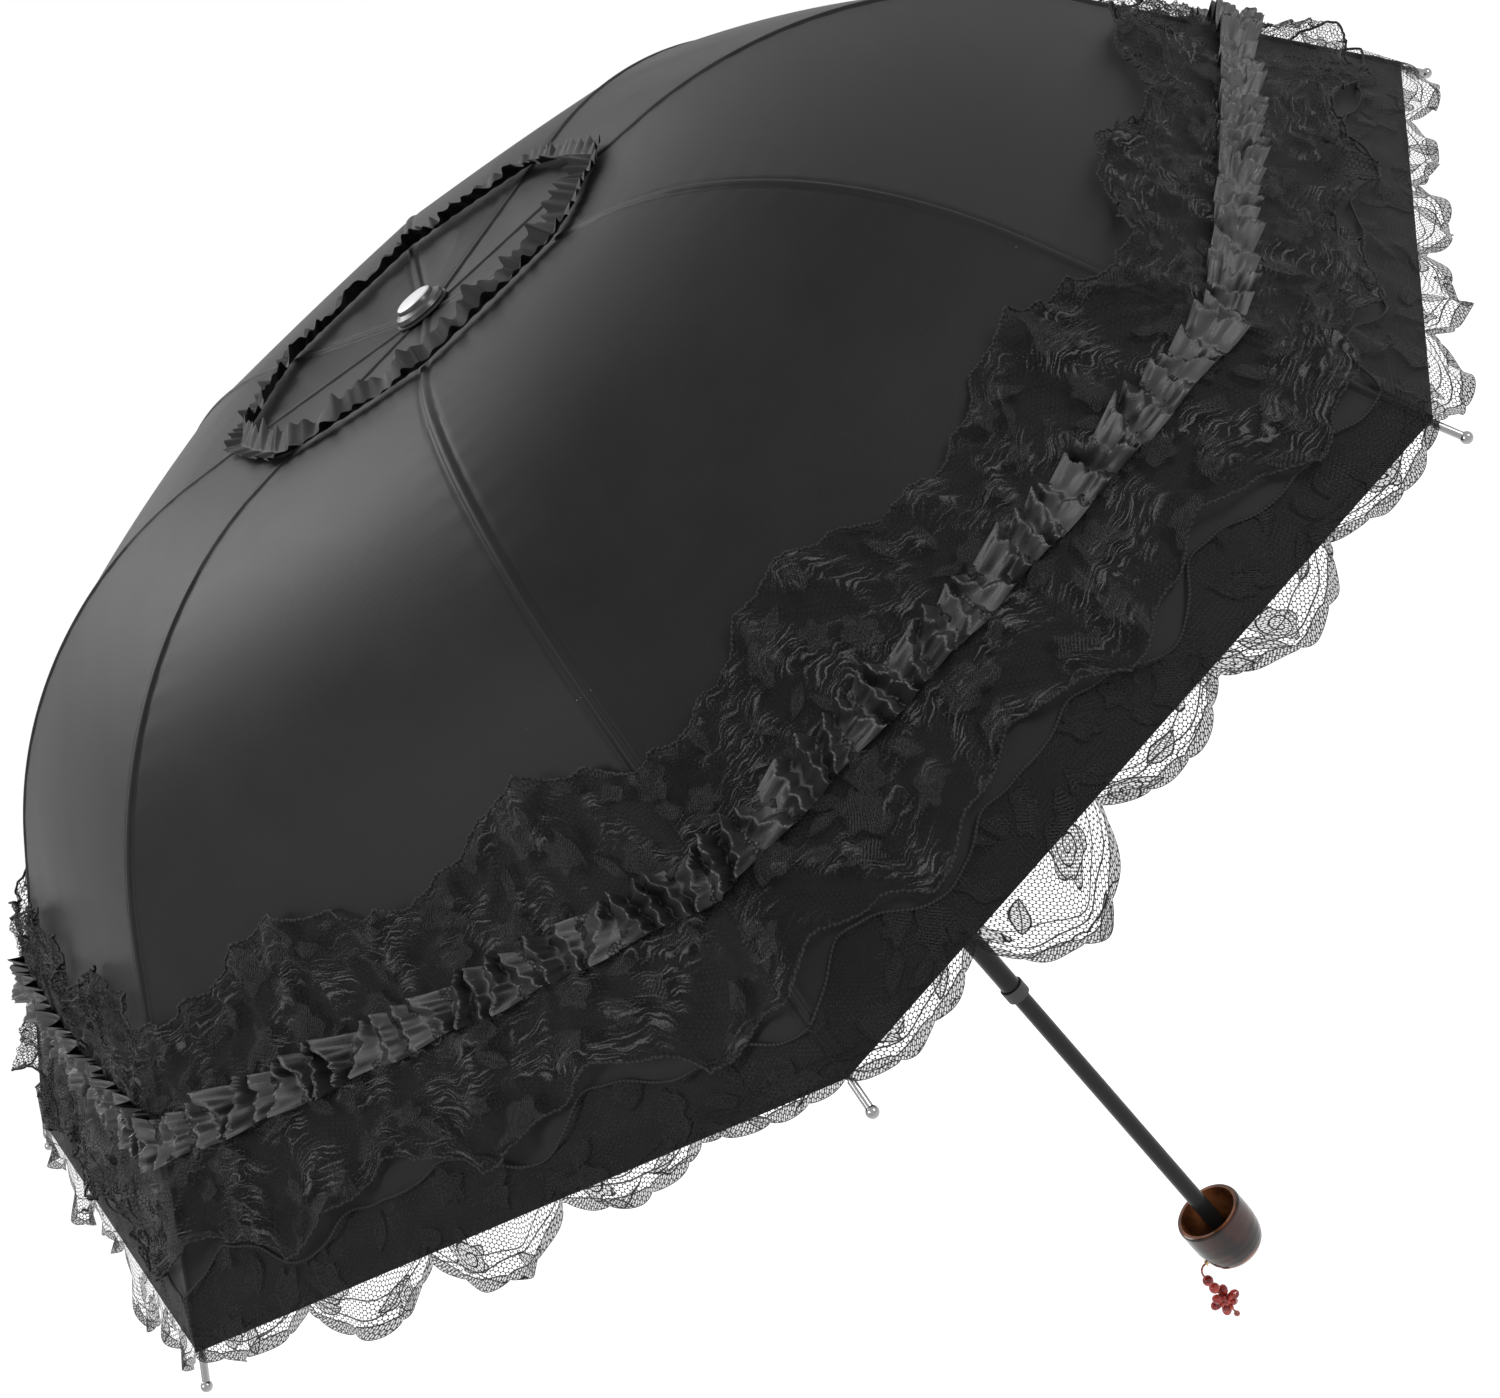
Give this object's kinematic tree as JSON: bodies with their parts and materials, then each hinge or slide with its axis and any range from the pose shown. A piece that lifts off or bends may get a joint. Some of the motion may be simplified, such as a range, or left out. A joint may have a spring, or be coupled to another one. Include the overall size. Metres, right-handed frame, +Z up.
{
  "type": "lace parasol",
  "caption": "Folding lace parasol: domed ribbed canopy with gathered lace bands, telescoping shaft with a sliding runner, cup-shaped handle and a wrist charm.",
  "frame": {"origin": "on the shaft's axis at the middle of the handle cup, where a hand grips it", "axes": "+Z up the shaft towards the crown cap; the charm leaves the handle towards -X"},
  "size_m": [0.798, 0.798, 0.7064],
  "materials": {
    "tortoiseshell_resin": "translucent dark red-brown resin, polished",
    "black_tube": "black lacquered steel tube",
    "black_plastic": "moulded black plastic",
    "pin_steel": "drawn steel wire",
    "black_rib_steel": "black coated pressed steel",
    "silver_wire": "bright plated wire and ball",
    "cap_silver": "satin silver cap with a black foot",
    "button_steel": "pressed steel",
    "black_satin": "black satin with a soft sheen and fine weave",
    "black_lace": "black floral net lace with a corded edge",
    "black_ribbon": "gathered black satin ribbon",
    "eyelet_brass": "small rolled eyelet",
    "red_cord": "waxed red-brown cord",
    "red_glass": "faceted red beads"
  },
  "bodies": {
    "handle": {"handle_cup": "tortoiseshell_resin", "handle_socket": "black_plastic", "lower_tube": "black_tube", "charm_eyelet": "eyelet_brass"},
    "middle_tube": {"middle_tube": "black_tube", "middle_ferrule": "black_plastic"},
    "crown": {"upper_tube": "black_tube", "crown_notch": "black_plastic", "crown_pins": "pin_steel", "cap_washer": "black_plastic", "top_cap": "cap_silver", "canopy": "black_satin", "crown_ruffle": "black_ribbon", "ribbon_ruffle": "black_ribbon", "lace_flounce": "black_lace", "rim_lace": "black_lace"},
    "runner": {"runner": "black_plastic"},
    "button": {"release_button": "button_steel"},
    "charm": {"charm_cord": "red_cord", "charm_beads": "red_glass", "charm_flower": "red_glass", "charm_knot": "red_cord"},
    "inner_rib_1": {"inner_rib_1": "black_rib_steel"},
    "stretcher_1": {"stretcher_1": "black_rib_steel"},
    "middle_rib_1": {"middle_rib_1": "black_rib_steel"},
    "outer_rib_1": {"outer_rib_1": "silver_wire"},
    "inner_rib_2": {"inner_rib_2": "black_rib_steel"},
    "stretcher_2": {"stretcher_2": "black_rib_steel"},
    "middle_rib_2": {"middle_rib_2": "black_rib_steel"},
    "outer_rib_2": {"outer_rib_2": "silver_wire"},
    "inner_rib_3": {"inner_rib_3": "black_rib_steel"},
    "stretcher_3": {"stretcher_3": "black_rib_steel"},
    "middle_rib_3": {"middle_rib_3": "black_rib_steel"},
    "outer_rib_3": {"outer_rib_3": "silver_wire"},
    "inner_rib_4": {"inner_rib_4": "black_rib_steel"},
    "stretcher_4": {"stretcher_4": "black_rib_steel"},
    "middle_rib_4": {"middle_rib_4": "black_rib_steel"},
    "outer_rib_4": {"outer_rib_4": "silver_wire"},
    "inner_rib_5": {"inner_rib_5": "black_rib_steel"},
    "stretcher_5": {"stretcher_5": "black_rib_steel"},
    "middle_rib_5": {"middle_rib_5": "black_rib_steel"},
    "outer_rib_5": {"outer_rib_5": "silver_wire"},
    "inner_rib_6": {"inner_rib_6": "black_rib_steel"},
    "stretcher_6": {"stretcher_6": "black_rib_steel"},
    "middle_rib_6": {"middle_rib_6": "black_rib_steel"},
    "outer_rib_6": {"outer_rib_6": "silver_wire"},
    "inner_rib_7": {"inner_rib_7": "black_rib_steel"},
    "stretcher_7": {"stretcher_7": "black_rib_steel"},
    "middle_rib_7": {"middle_rib_7": "black_rib_steel"},
    "outer_rib_7": {"outer_rib_7": "silver_wire"},
    "inner_rib_8": {"inner_rib_8": "black_rib_steel"},
    "stretcher_8": {"stretcher_8": "black_rib_steel"},
    "middle_rib_8": {"middle_rib_8": "black_rib_steel"},
    "outer_rib_8": {"outer_rib_8": "silver_wire"}
  },
  "joints": [
    {"name": "lower_slide", "type": "slide", "parent": "handle", "child": "middle_tube", "axis": [0, 0, -1], "range_m": [0, 0.186]},
    {"name": "upper_slide", "type": "slide", "parent": "middle_tube", "child": "crown", "axis": [0, 0, -1], "range_m": [0, 0.186]},
    {"name": "runner_slide", "type": "slide", "parent": "crown", "child": "runner", "axis": [0, 0, -1], "range_m": [0, 0.1326], "deforming": ["canopy", "crown_ruffle", "ribbon_ruffle", "lace_flounce", "rim_lace"]},
    {"name": "button_press", "type": "slide", "parent": "runner", "child": "button", "axis": [-0.2436, 0.9699, 0], "range_m": [0, 0.0013], "stiffness_N_per_m": 200},
    {"name": "charm_swing", "type": "hinge", "parent": "handle", "child": "charm", "pos_m": [-0.0188, 0, -0.009], "axis": [0, 1, 0], "range_deg": [0, 45]},
    {"name": "inner_fold_1", "type": "hinge", "parent": "crown", "child": "inner_rib_1", "pos_m": [-0.00161, -0.01088, 0.636], "axis": [0.9893, -0.1461, 0], "range_deg": [0, 90.2]},
    {"name": "stretcher_fold_1", "type": "hinge", "parent": "inner_rib_1", "child": "stretcher_1", "pos_m": [-0.01475, -0.0999, 0.63804], "axis": [0.9893, -0.1461, 0], "range_deg": [-137.8, 0]},
    {"name": "middle_fold_1", "type": "hinge", "parent": "inner_rib_1", "child": "middle_rib_1", "pos_m": [-0.0243, -0.16455, 0.64073], "axis": [0.9893, -0.1461, 0], "range_deg": [-198, 0]},
    {"name": "outer_fold_1", "type": "hinge", "parent": "middle_rib_1", "child": "outer_rib_1", "pos_m": [-0.0429, -0.29055, 0.5672], "axis": [0.9893, -0.1461, 0], "range_deg": [0, 154.3]},
    {"name": "inner_fold_2", "type": "hinge", "parent": "crown", "child": "inner_rib_2", "pos_m": [0.00656, -0.00883, 0.636], "axis": [0.8028, 0.5962, 0], "range_deg": [0, 90.2]},
    {"name": "stretcher_fold_2", "type": "hinge", "parent": "inner_rib_2", "child": "stretcher_2", "pos_m": [0.06021, -0.08107, 0.63804], "axis": [0.8028, 0.5962, 0], "range_deg": [-137.8, 0]},
    {"name": "middle_fold_2", "type": "hinge", "parent": "inner_rib_2", "child": "middle_rib_2", "pos_m": [0.09917, -0.13354, 0.64073], "axis": [0.8028, 0.5962, 0], "range_deg": [-198, 0]},
    {"name": "outer_fold_2", "type": "hinge", "parent": "middle_rib_2", "child": "outer_rib_2", "pos_m": [0.17511, -0.23579, 0.5672], "axis": [0.8028, 0.5962, 0], "range_deg": [0, 154.3]},
    {"name": "inner_fold_3", "type": "hinge", "parent": "crown", "child": "inner_rib_3", "pos_m": [0.01088, -0.00161, 0.636], "axis": [0.1461, 0.9893, 0], "range_deg": [0, 90.2]},
    {"name": "stretcher_fold_3", "type": "hinge", "parent": "inner_rib_3", "child": "stretcher_3", "pos_m": [0.0999, -0.01475, 0.63804], "axis": [0.1461, 0.9893, 0], "range_deg": [-137.8, 0]},
    {"name": "middle_fold_3", "type": "hinge", "parent": "inner_rib_3", "child": "middle_rib_3", "pos_m": [0.16455, -0.0243, 0.64073], "axis": [0.1461, 0.9893, 0], "range_deg": [-198, 0]},
    {"name": "outer_fold_3", "type": "hinge", "parent": "middle_rib_3", "child": "outer_rib_3", "pos_m": [0.29055, -0.0429, 0.5672], "axis": [0.1461, 0.9893, 0], "range_deg": [0, 154.3]},
    {"name": "inner_fold_4", "type": "hinge", "parent": "crown", "child": "inner_rib_4", "pos_m": [0.00883, 0.00656, 0.636], "axis": [-0.5962, 0.8028, 0], "range_deg": [0, 90.2]},
    {"name": "stretcher_fold_4", "type": "hinge", "parent": "inner_rib_4", "child": "stretcher_4", "pos_m": [0.08107, 0.06021, 0.63804], "axis": [-0.5962, 0.8028, 0], "range_deg": [-137.8, 0]},
    {"name": "middle_fold_4", "type": "hinge", "parent": "inner_rib_4", "child": "middle_rib_4", "pos_m": [0.13354, 0.09917, 0.64073], "axis": [-0.5962, 0.8028, 0], "range_deg": [-198, 0]},
    {"name": "outer_fold_4", "type": "hinge", "parent": "middle_rib_4", "child": "outer_rib_4", "pos_m": [0.23579, 0.17511, 0.5672], "axis": [-0.5962, 0.8028, 0], "range_deg": [0, 154.3]},
    {"name": "inner_fold_5", "type": "hinge", "parent": "crown", "child": "inner_rib_5", "pos_m": [0.00161, 0.01088, 0.636], "axis": [-0.9893, 0.1461, 0], "range_deg": [0, 90.2]},
    {"name": "stretcher_fold_5", "type": "hinge", "parent": "inner_rib_5", "child": "stretcher_5", "pos_m": [0.01475, 0.0999, 0.63804], "axis": [-0.9893, 0.1461, 0], "range_deg": [-137.8, 0]},
    {"name": "middle_fold_5", "type": "hinge", "parent": "inner_rib_5", "child": "middle_rib_5", "pos_m": [0.0243, 0.16455, 0.64073], "axis": [-0.9893, 0.1461, 0], "range_deg": [-198, 0]},
    {"name": "outer_fold_5", "type": "hinge", "parent": "middle_rib_5", "child": "outer_rib_5", "pos_m": [0.0429, 0.29055, 0.5672], "axis": [-0.9893, 0.1461, 0], "range_deg": [0, 154.3]},
    {"name": "inner_fold_6", "type": "hinge", "parent": "crown", "child": "inner_rib_6", "pos_m": [-0.00656, 0.00883, 0.636], "axis": [-0.8028, -0.5962, 0], "range_deg": [0, 90.2]},
    {"name": "stretcher_fold_6", "type": "hinge", "parent": "inner_rib_6", "child": "stretcher_6", "pos_m": [-0.06021, 0.08107, 0.63804], "axis": [-0.8028, -0.5962, 0], "range_deg": [-137.8, 0]},
    {"name": "middle_fold_6", "type": "hinge", "parent": "inner_rib_6", "child": "middle_rib_6", "pos_m": [-0.09917, 0.13354, 0.64073], "axis": [-0.8028, -0.5962, 0], "range_deg": [-198, 0]},
    {"name": "outer_fold_6", "type": "hinge", "parent": "middle_rib_6", "child": "outer_rib_6", "pos_m": [-0.17511, 0.23579, 0.5672], "axis": [-0.8028, -0.5962, 0], "range_deg": [0, 154.3]},
    {"name": "inner_fold_7", "type": "hinge", "parent": "crown", "child": "inner_rib_7", "pos_m": [-0.01088, 0.00161, 0.636], "axis": [-0.1461, -0.9893, 0], "range_deg": [0, 90.2]},
    {"name": "stretcher_fold_7", "type": "hinge", "parent": "inner_rib_7", "child": "stretcher_7", "pos_m": [-0.0999, 0.01475, 0.63804], "axis": [-0.1461, -0.9893, 0], "range_deg": [-137.8, 0]},
    {"name": "middle_fold_7", "type": "hinge", "parent": "inner_rib_7", "child": "middle_rib_7", "pos_m": [-0.16455, 0.0243, 0.64073], "axis": [-0.1461, -0.9893, 0], "range_deg": [-198, 0]},
    {"name": "outer_fold_7", "type": "hinge", "parent": "middle_rib_7", "child": "outer_rib_7", "pos_m": [-0.29055, 0.0429, 0.5672], "axis": [-0.1461, -0.9893, 0], "range_deg": [0, 154.3]},
    {"name": "inner_fold_8", "type": "hinge", "parent": "crown", "child": "inner_rib_8", "pos_m": [-0.00883, -0.00656, 0.636], "axis": [0.5962, -0.8028, 0], "range_deg": [0, 90.2]},
    {"name": "stretcher_fold_8", "type": "hinge", "parent": "inner_rib_8", "child": "stretcher_8", "pos_m": [-0.08107, -0.06021, 0.63804], "axis": [0.5962, -0.8028, 0], "range_deg": [-137.8, 0]},
    {"name": "middle_fold_8", "type": "hinge", "parent": "inner_rib_8", "child": "middle_rib_8", "pos_m": [-0.13354, -0.09917, 0.64073], "axis": [0.5962, -0.8028, 0], "range_deg": [-198, 0]},
    {"name": "outer_fold_8", "type": "hinge", "parent": "middle_rib_8", "child": "outer_rib_8", "pos_m": [-0.23579, -0.17511, 0.5672], "axis": [0.5962, -0.8028, 0], "range_deg": [0, 154.3]}
  ],
  "couplings": [
    {"joint": "inner_fold_1", "follows": "runner_slide", "rad_per_m": 11.846},
    {"joint": "stretcher_fold_1", "follows": "runner_slide", "rad_per_m": -18.112},
    {"joint": "middle_fold_1", "follows": "runner_slide", "rad_per_m": -26.035},
    {"joint": "outer_fold_1", "follows": "runner_slide", "rad_per_m": 20.283},
    {"joint": "inner_fold_2", "follows": "runner_slide", "rad_per_m": 11.846},
    {"joint": "stretcher_fold_2", "follows": "runner_slide", "rad_per_m": -18.112},
    {"joint": "middle_fold_2", "follows": "runner_slide", "rad_per_m": -26.035},
    {"joint": "outer_fold_2", "follows": "runner_slide", "rad_per_m": 20.283},
    {"joint": "inner_fold_3", "follows": "runner_slide", "rad_per_m": 11.846},
    {"joint": "stretcher_fold_3", "follows": "runner_slide", "rad_per_m": -18.112},
    {"joint": "middle_fold_3", "follows": "runner_slide", "rad_per_m": -26.035},
    {"joint": "outer_fold_3", "follows": "runner_slide", "rad_per_m": 20.283},
    {"joint": "inner_fold_4", "follows": "runner_slide", "rad_per_m": 11.846},
    {"joint": "stretcher_fold_4", "follows": "runner_slide", "rad_per_m": -18.112},
    {"joint": "middle_fold_4", "follows": "runner_slide", "rad_per_m": -26.035},
    {"joint": "outer_fold_4", "follows": "runner_slide", "rad_per_m": 20.283},
    {"joint": "inner_fold_5", "follows": "runner_slide", "rad_per_m": 11.846},
    {"joint": "stretcher_fold_5", "follows": "runner_slide", "rad_per_m": -18.112},
    {"joint": "middle_fold_5", "follows": "runner_slide", "rad_per_m": -26.035},
    {"joint": "outer_fold_5", "follows": "runner_slide", "rad_per_m": 20.283},
    {"joint": "inner_fold_6", "follows": "runner_slide", "rad_per_m": 11.846},
    {"joint": "stretcher_fold_6", "follows": "runner_slide", "rad_per_m": -18.112},
    {"joint": "middle_fold_6", "follows": "runner_slide", "rad_per_m": -26.035},
    {"joint": "outer_fold_6", "follows": "runner_slide", "rad_per_m": 20.283},
    {"joint": "inner_fold_7", "follows": "runner_slide", "rad_per_m": 11.846},
    {"joint": "stretcher_fold_7", "follows": "runner_slide", "rad_per_m": -18.112},
    {"joint": "middle_fold_7", "follows": "runner_slide", "rad_per_m": -26.035},
    {"joint": "outer_fold_7", "follows": "runner_slide", "rad_per_m": 20.283},
    {"joint": "inner_fold_8", "follows": "runner_slide", "rad_per_m": 11.846},
    {"joint": "stretcher_fold_8", "follows": "runner_slide", "rad_per_m": -18.112},
    {"joint": "middle_fold_8", "follows": "runner_slide", "rad_per_m": -26.035},
    {"joint": "outer_fold_8", "follows": "runner_slide", "rad_per_m": 20.283}
  ]
}
